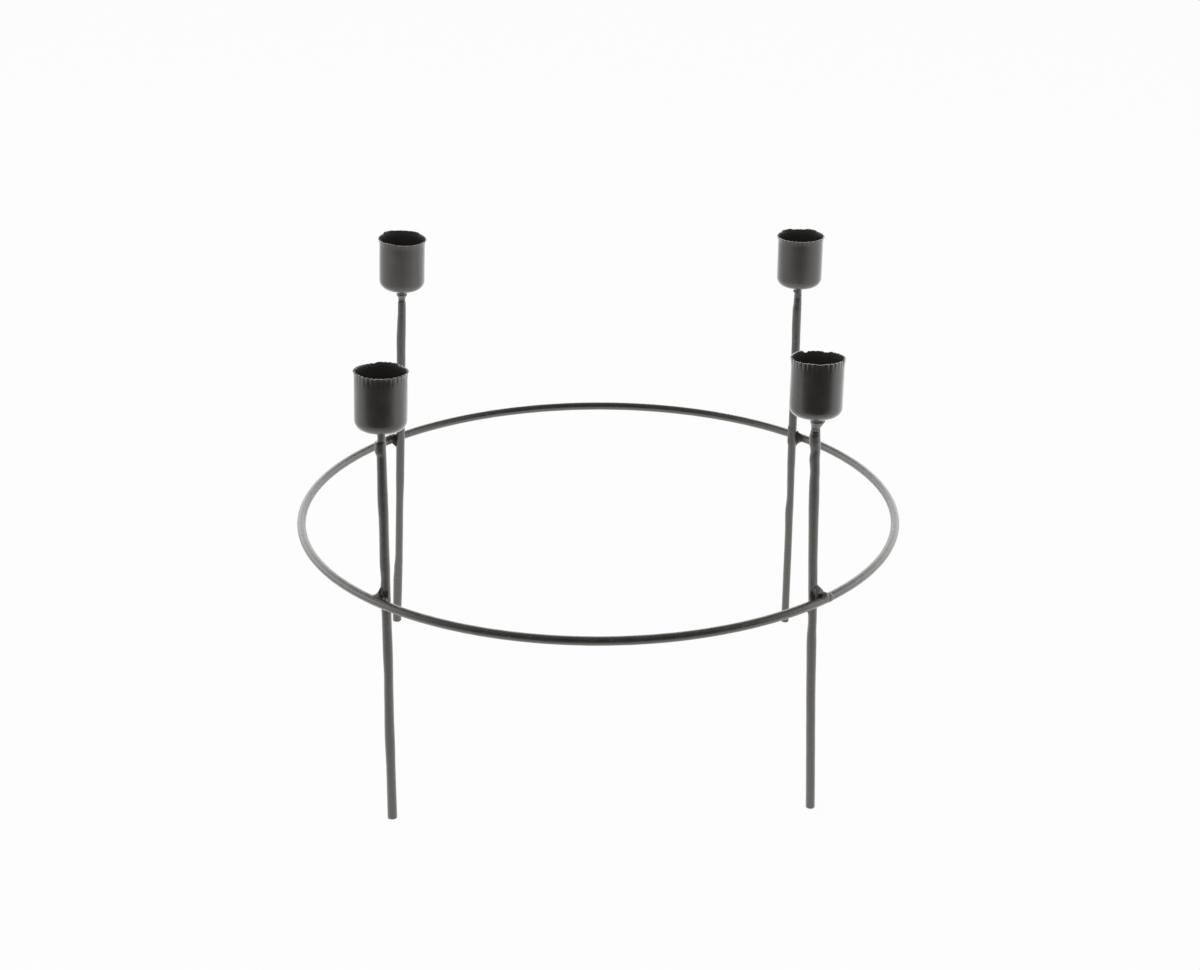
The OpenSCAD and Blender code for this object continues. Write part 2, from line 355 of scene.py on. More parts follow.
def paint(name, colour, settings, roughness, gloss, coat, coat_roughness, cloud, orange_peel, grit):
    """Satin black paint, mottled. The mesh says where it is worn and pale with painted highlight, near black
    with scorch and painted shade, or dull.

    Cloud is the size of its cloudy patches. Orange peel and grit are the heights of its two reliefs.
    """
    material = bpy.data.materials.new(name)
    graph = Graph(material)
    place = graph.add("ShaderNodeTexCoord", output="Object")
    clouds = graph.spots(place, cloud, detail=3.0)
    grain = graph.spots(place, 0.35 * MM, detail=2.0)
    dust = graph.spots(place, 0.6 * MM, detail=0.0).between(0.78, 0.83)
    wear_and_highlight = graph.mark("wear_and_highlight")
    soot_and_shade = graph.mark("soot_and_shade")
    dull = graph.mark("dull")
    base = graph.blend(clouds.between(0.3, 0.7), tinted(colour, 0.8), tinted(colour, 1.2))
    base = graph.blend(grain.between(0.45, 0.8) * 0.25, base, tinted(colour, 1.9))
    base = graph.blend(dust * 0.3, base, tinted(colour, 3.0))
    base = graph.blend(dull, base, tinted(colour, 2.0))
    # Painted shade: near black in the hollows and gaps by the welds and under the cups, with some scorch
    base = graph.blend(soot_and_shade, base, tinted(settings.soot_and_shade, 1.0))
    # Paler where the paint is worn, and as a painted highlight on the crests of the cups' crimped rims
    base = graph.blend(wear_and_highlight, base, tinted(settings.wear_and_highlight, 1.0))
    rough = roughness + (clouds - 0.5) * 0.12 + (grain - 0.5) * 0.1 + soot_and_shade * 0.3 + dull * 0.4
    height = graph.spots(place, 1.1 * MM, detail=1.0) * orange_peel + grain * grit
    bump = graph.add(
        "ShaderNodeBump", inputs={"Strength": 1.0, "Distance": 1.0, "Height": height}, output="Normal")
    shader = graph.add("ShaderNodeBsdfPrincipled", inputs={
        "Base Color": base,
        "Roughness": rough,
        "Specular IOR Level": gloss,
        "Specular Tint": (1.0, 0.95, 0.89, 1.0),
        "Coat Weight": (1.0 - soot_and_shade * 0.9) * (1.0 - dull) * coat,
        "Coat Roughness": coat_roughness,
        "Coat IOR": 1.55,
        "Normal": bump,
    })
    graph.add("ShaderNodeOutputMaterial", inputs={"Surface": shader})
    return material


def wire_paint():
    """The paint of the hoop and stems, shared by both."""
    settings = bpy.context.scene.holder_paint
    return bpy.data.materials.get("painted_wire") or paint(
        "painted_wire", settings.wire, settings, roughness=0.42, gloss=0.85, coat=0.65, coat_roughness=0.24,
        cloud=5 * MM, orange_peel=0.05 * MM, grit=0.012 * MM)


def cup_paint():
    """The smoother paint of the cups."""
    settings = bpy.context.scene.holder_paint
    return paint(
        "painted_sheet", settings.cup, settings, roughness=0.4, gloss=0.4, coat=1.0, coat_roughness=0.2,
        cloud=6 * MM, orange_peel=0.03 * MM, grit=0.006 * MM)


def weld_paint():
    """The paint over the beads, shared by all welds, lighter than the wire's paint as painted light."""
    settings = bpy.context.scene.holder_paint
    return bpy.data.materials.get("painted_weld_metal") or paint(
        "painted_weld_metal", settings.weld, settings, roughness=0.5, gloss=0.9, coat=0.6,
        coat_roughness=0.35, cloud=1.5 * MM, orange_peel=0.06 * MM, grit=0.02 * MM)


# Wires

def paint_nicks(rings, seed):
    """Small pale nicks in a wire's paint."""
    return eased((lumps(rings, 0.7 * MM, seed) - 0.62) * 8) * 0.25


# Hoop

# Painted shade with scorch on the hoop beside the welds, where weld and stem shade it: (x, y, z, radius,
# share) in a stand's local millimetres.
HOOP_SOOT_AND_SHADE = {
    "front_left": ((3.2, 3.6, 1.9, 1.2, 0.9), (3.4, 5.4, 1.9, 1.0, 0.7)),
    "front_right": ((4.6, 5.8, -1.9, 0.8, 0.5),),
    "back_left": ((2.4, 6.9, 0.6, 2.2, 0.8),),
    "back_right": ((2.0, -5.2, 0.2, 2.6, 0.8), (2.2, -7.6, 0.2, 1.8, 0.5)),
}


def build_hoop(settings, stands):
    """A hand-bent ring of wire, open by a hair where its ends meet in the seam weld."""
    steps, around = 1100, 28
    gap = 0.5 * MM
    inset = 0.05 * MM
    wire_r = settings.thickness / 2 + settings.film
    middle_r = (HOOP_HIGH.x - HOOP_LOW.x) / 2 - wire_r - inset
    half_gap = gap / middle_r
    angle = SEAM_ANGLE + np.linspace(half_gap, 2 * math.pi - half_gap, steps)
    out = np.stack([np.cos(angle), np.sin(angle), 0 * angle], 1)
    r = middle_r - settings.waver * (0.5 + 0.5 * turned(angle, 0.7, seed=3))
    z = HOOP_Z + settings.waver * 0.5 * turned(angle, 0.9, seed=8)
    up = np.array([0, 0, 1])
    middle = out * r[:, None] + up * z[:, None]
    around_wire = np.linspace(0, 2 * math.pi, around, endpoint=False)[:, None]
    side = out[:, None] * np.cos(around_wire) + up * np.sin(around_wire)
    rings = middle[:, None] + side * wire_r
    paint_film = lumps(rings, 2.2 * MM, seed=5) * 0.6 + lumps(rings, 6 * MM, seed=9)
    rings = rings + side * (settings.ripple * (paint_film - 0.6))[..., None]
    soot_and_shade = np.zeros(steps * around)
    for stand in stands:
        local = np.array(stand.at_crossing().inverted())
        places = rings.reshape(-1, 3) @ local[:3, :3].T + local[:3, 3]
        # Painted shade, with scorch, where each weld and stem shade the hoop
        for *ball, share in HOOP_SOOT_AND_SHADE[stand.place]:
            soot_and_shade = np.maximum(soot_and_shade, eased(nearness(places, *ball) * 1.6) * share)
    return skin("hoop_wire", rings, {"wear_and_highlight": paint_nicks(rings, seed=14), "soot_and_shade": soot_and_shade})


class HOLDER_OT_hoop(bpy.types.Operator):
    """Build the wire hoop"""
    bl_idname = "candle_holder.hoop"
    bl_label = "Hoop"

    def execute(self, context):
        made = build_hoop(context.scene.holder_wire, all_stands(context.scene))
        dress(made, "hoop", wire_paint())
        return {"FINISHED"}


# Stems

# Short tells how many millimetres lower than usual a wire ends under its cup. Sideways bows and widths are
# (height, value) knots in millimetres, the bow positive to the right. Marks are pits darkened with scorch
# and painted shade: (height from the crossing, direction in degrees, radius, depth, darkness).
STEMS = {
    "front_left": {
        "short": 0.9,
        "bow": (
            (0, 0), (25, 0), (48, -0.12), (64, 0.03), (75, 0.2), (101, 0.12), (116, -0.05), (122, 0.12),
            (130, -0.03), (150, 0.08), (160, -0.08), (180, -0.04), (182.5, -0.46), (190, -0.42)),
        "width": (
            (0, 4.55), (25, 4.35), (40, 4.7), (60, 4.4), (71, 4.3), (86, 4.65), (101, 4.5), (116, 4.6),
            (122, 4.3), (128, 4.65), (145, 4.4), (160, 4.75), (174, 4.45), (180, 4.35), (182.5, 5.1),
            (190, 5.0)),
        "marks": (
            (6.0, 226, 1.7, 0.1, 1.0), (4.9, 280, 1.5, 0.12, 1.0), (3.4, 276, 1.3, 0.1, 1.0),
            (3.0, 243, 0.9, 0.1, 0.9), (4.5, 252, 1.4, 0.1, 1.0)),
    },
    "front_right": {
        "short": 1.6,
        "bow": (
            (0, 0.4), (12, 0.35), (28, 0.18), (45, 0), (64, -0.18), (92, -0.2), (100, 0.05), (120, -0.05),
            (132, -0.18), (150, -0.17), (168, -0.07), (174, 0.11), (180, -0.12), (184, 0.17), (188, -0.1),
            (191, -0.15), (193, 0.05)),
        "width": (
            (0, 4.35), (45, 4.35), (68, 4.4), (88, 4.6), (98, 4.05), (108, 4.05), (120, 4.25), (132, 4.25),
            (144, 4.45), (162, 4.75), (174, 4.4), (180, 4.7), (184, 4.4), (188, 5.05), (191, 4.9),
            (193, 4.4)),
        "marks": (
            (4.4, 252, 1.2, 0.1, 1.0), (2.8, 250, 1.3, 0.15, 1.0), (1.4, 254, 1.3, 0.1, 0.9),
            (7.0, 300, 0.95, 0.3, 1.0)),
    },
    "back_left": {
        "short": 3.6,
        "bow": (
            (0, -0.7), (25, -0.5), (33, -0.3), (40, 0), (70, 0.03), (84, 0.14), (98, 0.12), (155, 0),
            (167, -0.14), (178, 0), (184, 0.09), (190, 0.04)),
        "width": (
            (0, 4.8), (25, 5.0), (33, 4.7), (42, 4.15), (70, 4.1), (91, 4.6), (150, 4.7), (170, 4.85),
            (178, 4.6), (184, 4.3), (190, 4.2)),
        "marks": ((78.4, 258, 1.0, 0.05, 0.75),),
    },
    "back_right": {
        "short": 1.5,
        "bow": (
            (0, 0), (54, 0.05), (66, -0.13), (76, 0.14), (97, -0.15), (140, -0.2), (165, -0.3), (176, -0.46),
            (183, -0.46), (187, -0.3), (190, -0.28)),
        "width": (
            (0, 4.2), (54, 4.15), (68, 4.4), (76, 3.9), (90, 4.05), (97, 4.35), (165, 4.55), (176, 4.7),
            (183, 4.65), (187, 4.25), (190, 4.0)),
        "marks": (),
    },
}


def stem_steps(length):
    """Heights of a stem's rings, and the share of its radius that each has, less at its rounded ends."""
    step = 0.5 * MM
    burr = 0.3 * MM
    start = np.array([0, 0, 0.4 * burr, burr])
    heights = np.concatenate([start, np.arange(2 * burr, length - 2 * burr, step), length - start[::-1]])
    end_shares = np.array([0.4, 0.88, 0.97])
    shares = np.ones(len(heights))
    shares[:3] = end_shares
    shares[-3:] = end_shares[::-1]
    return heights, shares


def build_stem(stand, settings):
    """A wire stem, cut flat at the table with a small burr, and running into the neck weld at its top."""
    shape = STEMS[stand.place]
    seed = list(STEMS).index(stand.place) + 1
    length = (stand.stem_top - stand.foot).length
    heights, shares = stem_steps(length)
    around = 36
    right, back = (np.array(v) for v in level_pair(stand.up))
    angle = np.linspace(0, 2 * math.pi, around, endpoint=False)
    side = right * np.cos(angle)[:, None] + back * np.sin(angle)[:, None]
    bow = through(shape["bow"], heights / MM) * MM
    middle = np.array(stand.foot) + np.array(stand.up) * heights[:, None] + right * bow[:, None]
    radius = through(shape["width"], heights / MM) * MM / 2
    round_from = length - 17 * MM
    round_over = 16 * MM
    rounder = eased((heights - round_from) / round_over)
    depth_radius = np.median(radius) * (1 - rounder) + radius * rounder
    wide = np.cos(angle) * (radius * shares)[:, None]
    deep = np.sin(angle) * (depth_radius * shares)[:, None]
    rings = middle[:, None] + right * wide[..., None] + back * deep[..., None]
    paint_film = lumps(rings, 2.0 * MM, seed) * 0.6 + lumps(rings * (1, 1, 0.35), 4 * MM, seed + 20)
    push = settings.ripple * paint_film
    soot_and_shade = np.zeros(push.shape)
    ragged = lumps(rings, 0.8 * MM, seed + 60)
    crossing = (stand.crossing - stand.foot).length
    for height, degrees, size, depth, dark in shape["marks"]:
        across = turn_from(angle, degrees) * radius[:, None]
        away = np.hypot(across, (heights - crossing - height * MM)[:, None]) / (size * MM) + 0.3 * ragged
        push = push - eased(1 - away) * depth * MM
        # Painted shade, with scorch, darkens each mark
        soot_and_shade = np.maximum(soot_and_shade, eased((1 - away) * 2) * dark)
    rings = rings + side * push[..., None]
    rings[..., 2] = np.maximum(rings[..., 2], 0)
    return skin("stem_wire_" + stand.place, rings, {"wear_and_highlight": paint_nicks(rings, seed + 40), "soot_and_shade": soot_and_shade})


class HOLDER_OT_stems(bpy.types.Operator):
    """Build the four wire stems"""
    bl_idname = "candle_holder.stems"
    bl_label = "Stems"

    def execute(self, context):
        for stand in all_stands(context.scene):
            made = build_stem(stand, context.scene.holder_wire)
            dress(made, "stem_" + stand.place, wire_paint())
        return {"FINISHED"}


# Weld metal

# All in local millimetres. A bead is a chain of (x, y, z, radius). A web is a round core and the balls along
# its free edge, and is filled between them. A ring is (x of its middle, its radius, z, radius of its bead).
# A flare is a round core and a ring around it, filled between. A pit is (x, y, z, radius, depth). Soot and
# shade is (x, y, z, radius, share): painted shade in the hollows and gaps by the weld, with its scorch.
STEM_BEADS = {
    "front_left": {
        "webs": (
            ((2.0, -0.6, 0.2, 1.6), (
                (1.4, -1.5, 6.2, 0.5), (1.9, -1.8, 4.6, 0.7), (2.4, -2.5, 3.3, 0.8), (2.9, -3.4, 2.4, 0.85),
                (3.5, -5.1, 1.6, 0.8), (3.8, -6.9, 1.3, 0.7))),
        ),
        "beads": (
            ((2.2, -0.6, -1.0, 1.5), (2.0, 1.2, 0, 1.3)),
            ((1.3, 0.7, 2.0, 0.9), (1.8, 1.6, 1.4, 1.0), (2.8, 2.6, 0.5, 1.3)),
        ),
        "soot_and_shade": ((1.9, -1.5, 5.0, 1.6, 1.0), (2.6, -0.4, 3.2, 1.2, 0.95), (2.2, 0.4, 2.9, 0.8, 0.6)),
    },
    "front_right": {
        "webs": (
            ((2.4, 0.8, 0.4, 1.75), (
                (1.6, 0.8, 7.2, 0.6), (2.2, 1.9, 5.6, 0.85), (2.6, 2.7, 4.4, 0.9), (3.0, 3.2, 3.0, 0.95))),
            ((3.6, 0.8, 0.4, 1.9), ((3.0, 3.2, 3.0, 1.0), (3.9, 4.0, 1.6, 1.95), (4.0, 4.2, 0.6, 2.0))),
        ),
        "beads": (
            ((2.0, -1.2, 0, 1.3), (2.2, 0.4, -1.0, 1.5)),
            ((-0.8, -1.4, -4.2, 1.1), (-0.8, -1.4, -6.0, 1.0), (-0.5, -1.3, -7.4, 0.75)),
            ((4.4, 4.9, -1.8, 0.45), (4.6, 6.6, -1.8, 0.4)),
        ),
        "pits": ((3.8, 0.8, 2.7, 1.3, 0.45),),
        "soot_and_shade": ((3.7, 0.8, 2.6, 1.45, 1.0), (4.65, 2.4, 2.85, 1.1, 0.45), (1.9, -0.5, 7.0, 0.8, 1.0)),
    },
    "back_left": {
        "webs": (
            ((2.2, 0.6, -0.3, 1.7), ((1.6, 1.2, -4.2, 0.45), (1.9, 1.9, -2.9, 0.7), (2.5, 3.0, -1.4, 0.9))),
        ),
        "beads": (((3.85, 0.8, 0.1, 2.5), (3.9, 3.4, 0.15, 2.55), (3.95, 5.6, 0.1, 2.4)),),
        "soot_and_shade": ((1.8, 2.4, 0.2, 3.0, 1.0), (2.0, 5.2, 0.5, 2.7, 0.97), (2.0, 1.6, -3.2, 2.2, 0.95)),
    },
    "back_right": {
        "webs": (
            ((2.1, -0.6, 0, 1.8), (
                (2.0, -1.6, 2.6, 0.9), (2.4, -2.4, 2.0, 0.9), (2.9, -3.4, 1.3, 0.9),
                (3.8, -5.2, 0.9, 0.9))),
            ((2.1, -0.6, 0, 1.8), (
                (1.4, -0.8, -5.2, 0.5), (1.7, -1.2, -3.7, 0.7), (2.3, -2.3, -2.3, 0.8),
                (3.0, -3.8, -1.3, 0.9))),
        ),
        "beads": (
            ((2.0, -1.7, 3.2, 0.6), (2.05, -1.85, 3.9, 0.3)),
            (
                (-0.15, 0.15, 8.0, 2.0), (-0.38, 0.34, 6.0, 2.3), (-0.38, 0.34, -2.6, 2.3),
                (-0.15, 0.15, -4.8, 2.0)),
        ),
        "pits": ((1.4, -2.6, -0.4, 0.8, 0.25),),
        "soot_and_shade": (
            (1.3, -2.3, 0.9, 2.6, 1.0), (2.0, -4.0, 0.6, 2.0, 0.9), (1.4, -2.0, -1.0, 1.6, 1.0),
            (-1.8, -0.4, 3.0, 8.0, 0.4)),
    },
}

NECK_BEADS = {
    "front_left": {
        "beads": (((0.1, 0, -7.0, 1.88), (0.1, 0, -1.0, 1.88)),),
        "soot_and_shade": ((-1.4, -1.6, -6.2, 0.7, 0.3),),
    },
    "front_right": {
        "beads": (
            ((0.15, 0, -8.4, 2.12), (0.15, 0, -1.2, 2.05)),
            ((1.0, 0, -2.2, 3.15), (1.0, 0, 0, 3.15)),
        ),
        "flares": (((0.25, 0, -4.9, 2.0), (1.0, 3.05, -2.65, 0.32)),),
        "pits": ((-0.5, -2.1, -7.6, 0.9, 0.12),),
        "soot_and_shade": (
            (-0.9, -1.9, -7.5, 0.7, 1.0), (0.2, -2.1, -7.6, 0.65, 1.0), (1.9, -1.1, -6.6, 0.6, 0.9),
            (-0.9, -1.9, -5.6, 0.6, 0.6)),
    },
    "back_left": {
        "beads": (
            ((0, 0, -9.3, 2.18), (0, 0, -7.6, 1.9), (0, 0, -1.0, 1.9)),
            ((0, 0, -3.9, 2.7), (0, 0, -0.6, 2.7)),
        ),
        "flares": (((0, 0, -5.6, 1.85), (-0.05, 2.5, -4.35, 0.38)),),
        "rings": ((0, 1.6, -8.6, 0.5),),
        "soot_and_shade": ((0, -1.8, -7.8, 0.75, 0.7), (-1.2, -1.4, -7.9, 0.7, 0.6), (1.2, -1.4, -7.7, 0.7, 0.6)),
    },
    "back_right": {
        "beads": (
            ((-0.28, 0, -7.3, 2.1), (-0.3, 0, -1.0, 1.9)),
            ((-2.3, -0.2, -3.8, 0.75), (-1.4, -0.2, -3.4, 1.1)),
        ),
        "soot_and_shade": ((-1.2, -1.6, -4.3, 0.55, 0.85), (0.8, -1.8, -5.8, 0.55, 0.8)),
    },
}


def add_ball(shell, x, y, z, r):
    """Adds a small ball to a mesh that is being built."""
    bmesh.ops.create_icosphere(shell, subdivisions=2, radius=r, matrix=Matrix.Translation((x, y, z)))


def add_bead(shell, bead):
    """Overlapping balls along a chain."""
    for first, last in zip(bead, bead[1:]):
        first, last = np.array(first), np.array(last)
        reach = np.linalg.norm(last[:3] - first[:3])
        spacing = 0.3 * min(first[3], last[3])
        count = max(2, math.ceil(reach / spacing))
        for share in np.linspace(0, 1, count):
            add_ball(shell, *(first * (1 - share) + last * share))


def spiral_points(x, y, z, r):
    """Points spread evenly over a ball."""
    count = 90
    step = np.arange(count) + 0.5
    height = 1 - 2 * step / count
    turn = step * math.pi * (1 + math.sqrt(5))
    level = np.sqrt(1 - height ** 2)
    return np.array((x, y, z)) + r * np.stack([level * np.cos(turn), level * np.sin(turn), height], 1)


def add_web(shell, core, edge):
    """A sheet of metal, as thick as its balls, that fills the corner between a core and a free edge."""
    for first, last in zip(edge, edge[1:]):
        points = np.vstack([spiral_points(*ball) for ball in (core, first, last)])
        corners = [shell.verts.new(point) for point in points.tolist()]
        hull = bmesh.ops.convex_hull(shell, input=corners)
        bmesh.ops.delete(shell, geom=hull["geom_interior"], context="VERTS")


def ring_balls(x, ring_r, z, r, count):
    """Balls around a level ring with its middle at x. The last one closes the ring."""
    angles = np.linspace(0, 2 * math.pi, count + 1)
    return [(x + ring_r * math.cos(angle), ring_r * math.sin(angle), z, r) for angle in angles]


def bead_shell(shape):
    """All beads, webs and rings of one weld, overlapping and ready to be blended."""
    shell = bmesh.new()
    for bead in shape.get("beads", ()):
        add_bead(shell, bead)
    for core, edge in shape.get("webs", ()):
        add_web(shell, core, edge)
    for ring in shape.get("rings", ()):
        add_bead(shell, ring_balls(*ring, count=24))
    for core, brim in shape.get("flares", ()):
        add_web(shell, core, ring_balls(*brim, count=16))
    mesh = bpy.data.meshes.new("bead_shell")
    shell.to_mesh(mesh)
    shell.free()
    return mesh


def blended(mesh, voxel, rounds):
    """The outer skin of overlapping balls, smoothed until they run together."""
    lump = bpy.data.objects.new("bead_lump", mesh)
    bpy.context.scene.collection.objects.link(lump)
    remesh = lump.modifiers.new("blend", "REMESH")
    remesh.mode = "VOXEL"
    remesh.voxel_size = voxel
    soften = lump.modifiers.new("soften", "SMOOTH")
    soften.factor = 0.5
    soften.iterations = rounds
    ready = lump.evaluated_get(bpy.context.evaluated_depsgraph_get())
    made = bpy.data.meshes.new_from_object(ready)
    bpy.data.objects.remove(lump)
    bpy.data.meshes.remove(mesh)
    return made


def points_of(mesh):
    """The places and normals of a mesh's points."""
    places = np.zeros(len(mesh.vertices) * 3)
    mesh.vertices.foreach_get("co", places)
    normals = np.zeros(len(mesh.vertices) * 3)
    mesh.vertex_normals.foreach_get("vector", normals)
    return places.reshape(-1, 3), normals.reshape(-1, 3)


def nearness(places, x, y, z, r):
    """1 in the middle of a ball, 0 from its skin outwards."""
    return eased(1 - np.linalg.norm(places - (x, y, z), axis=1) / r)


def weld_metal(name, shape, matrix, settings, seed, ceiling=None):
    """A lump of weld metal: blended beads with ripples, pits, and scorch with painted shade.
    It keeps under a ceiling plane.
    """
    mesh = blended(bead_shell(shape), settings.voxel / MM, rounds=18)
    places, normals = points_of(mesh)
    fine = lumps(places, 0.8, seed)
    broad = lumps(places, 1.9, seed + 7)
    push = settings.ripple / MM * (fine + broad)
    soot_and_shade = eased(-fine * 2.0 - 0.5) * 0.15
    ragged = places + 0.35 * fine[:, None]
    # Painted shade, with scorch, near black in the hollows and gaps beside the weld
    for x, y, z, r, share in shape.get("soot_and_shade", ()):
        soot_and_shade = np.maximum(soot_and_shade, eased(nearness(ragged, x, y, z, r * 1.3) * 2.2) * share)
    for *ball, depth in shape.get("pits", ()):
        push = push - nearness(places, *ball) * depth
    places = places + normals * push[:, None]
    wear_and_highlight = eased((fine - 0.55) * 4) * 0.12
    world = np.array(matrix)
    places = places @ world[:3, :3].T + world[:3, 3]
    if ceiling is not None:
        point, up = (np.array(v) for v in ceiling)
        over = np.maximum((places - point) @ up, 0)
        places = places - over[:, None] * up
    mesh.vertices.foreach_set("co", places.ravel())
    mesh.update()
    return solid(name, mesh, {"wear_and_highlight": wear_and_highlight, "soot_and_shade": soot_and_shade})


def seam_place():
    """Local millimetres at the hoop's seam: X outwards, Y anticlockwise, Z up."""
    out = Vector((math.cos(SEAM_ANGLE), math.sin(SEAM_ANGLE), 0))
    up = Vector((0, 0, 1))
    r = (HOOP_HIGH.x - HOOP_LOW.x) / 2 - (HOOP_HIGH.z - HOOP_LOW.z) / 2
    return placing(out, up.cross(out), up, out * r + up * HOOP_Z)


SEAM_BEADS = {"beads": (((0, -0.8, 0, 2.18), (0, 0.2, 0, 2.28), (0, 0.8, 0, 2.2)),)}


class HOLDER_OT_stem_welds(bpy.types.Operator):
    """Build the welds between the stems and the hoop, and the one that closes the hoop"""
    bl_idname = "candle_holder.stem_welds"
    bl_label = "Hoop Welds"

    def execute(self, context):
        settings = context.scene.holder_weld
        for seed, stand in enumerate(all_stands(context.scene), 1):
            made = weld_metal(
                "hoop_bead_" + stand.place, STEM_BEADS[stand.place], stand.at_crossing(), settings, seed)
            dress(made, "stem_weld_" + stand.place, weld_paint())
        seam = weld_metal("seam_bead", SEAM_BEADS, seam_place(), settings, seed=9)
        dress(seam, "hoop_seam_weld", weld_paint())
        return {"FINISHED"}


class HOLDER_OT_cup_welds(bpy.types.Operator):
    """Build the necks of weld metal that carry the cups"""
    bl_idname = "candle_holder.cup_welds"
    bl_label = "Cup Welds"

    def execute(self, context):
        settings = context.scene.holder_weld
        sink = 0.12 * MM
        for seed, stand in enumerate(all_stands(context.scene), 11):
            deep = CUPS[stand.place]["deep"] * MM
            ceiling = (stand.cup_base + stand.cup_up * (sink - deep), stand.cup_up)
            made = weld_metal(
                "neck_bead_" + stand.place, NECK_BEADS[stand.place], stand.at_neck(), settings, seed, ceiling)
            dress(made, "cup_weld_" + stand.place, weld_paint())
        return {"FINISHED"}


# Cups

# In millimetres: rim_width, band (the height of the crimped band), flute and dip (the depths of a crimp in
# the wall and in the rim), low (how low the rim stands), deep (how far the base bulges down), oval (how far
# the sides stand out, and front and back draw in) and back (how far behind its stem's axis a cup is welded
# on). Bend is the power by which the band flares. Rises of the rim are (direction, half width, height), with
# directions and half widths in degrees, 0 to the right, 90 to the back and 270 to the front.
CUPS = {
    "front_left": {
        "rim_width": 24.2, "band": 4.6, "bend": 7, "flute": 0.24, "dip": 0.4, "low": 0, "deep": 0.5,
        "oval": 0.2,
        "rises": ((80, 24, 0.5), (266, 40, -0.25)),
    },
    "front_right": {
        "rim_width": 23.8, "band": 4.8, "bend": 3, "flute": 0.26, "dip": 0.35, "low": 0.05, "deep": -0.05,
        "oval": 0.12,
        "back": 0.6,
        "rises": (
            (90, 50, -0.35), (129, 11, 0.5), (114, 6, -0.5), (67, 7, -0.35), (50, 9, 0.2), (270, 5, -0.3),
            (218, 20, -0.2)),
    },
    "back_left": {
        "rim_width": 24.8, "band": 3.4, "bend": 2.2, "flute": 0.1, "dip": 0.15, "low": -0.1, "deep": 0.6,
        "oval": 0.25,
        "rises": ((133, 14, 0.7), (98, 22, 0.35), (62, 13, 0.45), (240, 12, 0.3)),
    },
    "back_right": {
        "rim_width": 24.6, "band": 3.4, "bend": 2.2, "flute": 0.1, "dip": 0.15, "low": 0, "deep": 0.45,
        "oval": 0.2,
        "rises": ((123, 15, 0.5), (58, 14, 0.45)),
    },
}


def cup_profile(stand, settings):
    """A cup's half section from the middle of its base out, up, over the lip and back down inside.

    Each point is (radius, height, share of the band's shape, share of the flare, 1 on the lip, 1 inside).
    """
    shape = CUPS[stand.place]
    wall = settings.wall
    outer = stand.bore + wall
    corner = settings.corner
    deep = shape["deep"] * MM
    top = settings.height
    band = shape["band"] * MM
    lip = 0.14 * MM
    inner = corner - wall
    band_shares = np.linspace(0, 1, 13)[1:-1]
    section = []

    def point(r, height, banded=0, flared=0, on_lip=0, inside=0):
        section.append((r, height, banded, flared, on_lip, inside))

    for share in (0.05, 0.25, 0.5, 0.75, 0.9):
        point(share * (outer - corner), -deep)
    for turn in np.radians(np.linspace(0, 90, 12)):
        point(outer - corner * (1 - math.sin(turn)), corner - (corner + deep) * math.cos(turn))
    for height in np.linspace(corner, top - band, 12)[1:]:
        point(outer, height)
    for share in band_shares:
        point(outer, top - band + share * (band - lip), share ** 1.2, share ** shape["bend"])
    for turn in np.radians(np.linspace(0, 90, 4)):
        point(outer - lip + lip * math.cos(turn), top - lip + lip * math.sin(turn), 1, 1, on_lip=1)
    for turn in np.radians(np.linspace(90, 180, 4)):
        point(stand.bore + lip + lip * math.cos(turn), top - lip + lip * math.sin(turn), 1, 1, on_lip=1)
    for share in band_shares[::-1]:
        point(stand.bore, top - band + share * (band - lip), share ** 1.2, share ** shape["bend"], inside=1)
    for height in np.linspace(top - band, corner, 8):
        point(stand.bore, height, inside=1)
    for turn in np.radians(np.linspace(90, 0, 8))[1:]:
        point(stand.bore - inner * (1 - math.sin(turn)), corner - (inner + deep) * math.cos(turn), inside=1)
    for share in (0.8, 0.5, 0.25, 0.05):
        point(share * (stand.bore - inner), wall - deep, inside=1)
    return np.array(section)


def crimped(angle, crimps, seed):
    """The crimps at each angle: 1 in a groove and 0 between two, then the depth in the wall and in the rim."""
    chance = np.random.default_rng(seed)
    turn = crimps * angle / (2 * math.pi) + 0.16 * turned(angle, 0.12, seed)
    crimp = np.floor(turn).astype(int) % crimps
    groove = (0.5 - 0.5 * np.cos(2 * math.pi * turn)) ** 1.6
    depth = chance.uniform(0.45, 1.15, crimps)[crimp]
    dip = chance.uniform(0.3, 1.15, crimps)[crimp]
    return groove, depth, dip


def rim_rise(angle, shape, seed):
    """How far the rim stands above its usual height at each angle."""
    edge = 7
    rise = -shape["low"] * MM + 0.06 * MM * turned(angle, 0.4, seed)
    for degrees, half_width, height in shape["rises"]:
        off = np.abs(np.degrees(turn_from(angle, degrees)))
        rise = rise + height * MM * eased((half_width - off) / edge + 0.5)
    return rise


